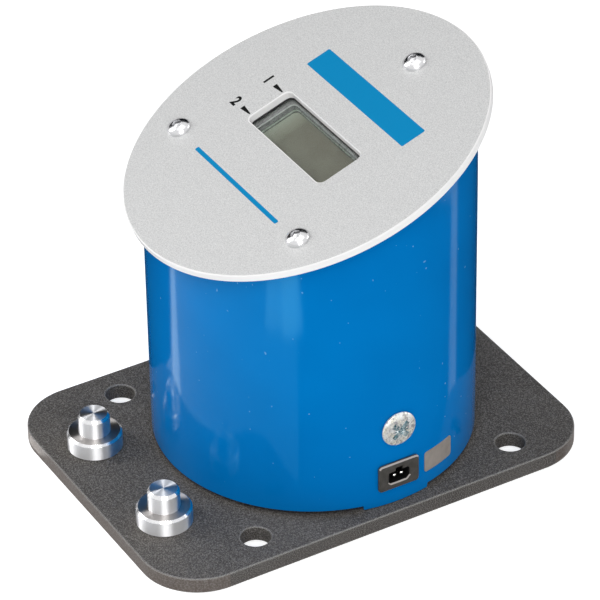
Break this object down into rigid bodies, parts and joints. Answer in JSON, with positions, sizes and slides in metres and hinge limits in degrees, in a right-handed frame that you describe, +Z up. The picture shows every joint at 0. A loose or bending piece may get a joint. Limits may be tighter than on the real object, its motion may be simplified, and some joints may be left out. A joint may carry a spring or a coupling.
{
  "type": "torque tester",
  "caption": "Bench torque tester: blue tubular reading head with a sloped round face and display, turning on a dark bolt-down base plate with turned front studs and an underside square drive.",
  "frame": {"origin": "on the torque axis, in the plane of the base plate's underside, which is also the middle of the four mounting holes", "axes": "+Z up along the torque axis and the tube, -Y towards the reader and the low side of the face, +X to the reader's right, where the power inlet and the clamp screw are"},
  "size_m": [0.151, 0.2085, 0.1783],
  "materials": {
    "plate_finish": "fine grained dark coating, edges worn bright",
    "stud_aluminium": "turned, ends facing-turned bright",
    "dark_steel": "black oxide",
    "ground_steel": "ground",
    "turned_aluminium": "turned",
    "bronze": "turned bearing bronze",
    "gauge_foil": "foil on brown film",
    "board_green": "lacquered circuit board",
    "lead_black": "soft sheath",
    "slide_white": "natural bearing plastic",
    "tube_blue": "gloss blue paint",
    "zinc_screw": "bright zinc plate",
    "face_aluminium": "fine matt anodised, bright cut edge",
    "lug_steel": "plain steel",
    "plated_steel": "bright plated",
    "seal_black": "foam rubber",
    "clear_pane": "clear polished plastic",
    "display_glass": "grey reflective display, off",
    "black_plastic": "moulded",
    "strip_grey": "layered contact rubber",
    "brass_plain": "turned",
    "ribbon_grey": "flat cable sheath",
    "capacitor_sleeve": "shrink sleeve",
    "socket_white": "moulded nylon",
    "inlet_plastic": "dark grey moulded",
    "pin_metal": "nickel plated",
    "plate_silver": "satin foil plate, bare"
  },
  "bodies": {
    "base": {"base_plate": "plate_finish", "left_stud": "stud_aluminium", "right_stud": "stud_aluminium", "stud_screws": "dark_steel", "stop_pin": "ground_steel", "pedestal": "turned_aluminium", "pedestal_screws": "dark_steel", "drive_bush": "bronze", "measuring_shaft": "ground_steel", "shaft_screws": "dark_steel", "strain_gauges": "gauge_foil", "gauge_terminals": "board_green", "gauge_lead": "lead_black", "slide_ring": "slide_white"},
    "head": {"housing_tube": "tube_blue", "carrier_ring": "turned_aluminium", "clamp_screw": "zinc_screw", "face_plate": "face_aluminium", "face_lugs": "lug_steel", "face_screws": "plated_steel", "window_seal": "seal_black", "window_pane": "clear_pane", "lcd_panel": "display_glass", "lcd_holder": "black_plastic", "contact_strips": "strip_grey", "display_board": "board_green", "display_spacers": "brass_plain", "display_screws": "plated_steel", "display_chip": "black_plastic", "display_socket": "black_plastic", "ribbon_cable": "ribbon_grey", "board_socket": "black_plastic", "measuring_board": "board_green", "board_pillars": "brass_plain", "board_screws": "plated_steel", "board_chips": "black_plastic", "board_capacitors": "capacitor_sleeve", "gauge_plug": "socket_white", "gauge_socket": "black_plastic", "supply_socket": "socket_white", "supply_lead": "lead_black", "inlet_body": "inlet_plastic", "inlet_pins": "pin_metal", "inlet_clip": "plated_steel", "rating_plate": "plate_silver"}
  },
  "joints": [
    {"name": "head_turn", "type": "hinge", "parent": "base", "child": "head", "pos_m": [0, 0, 0.046], "axis": [0, 0, 1], "range_deg": [-164, 164]}
  ]
}
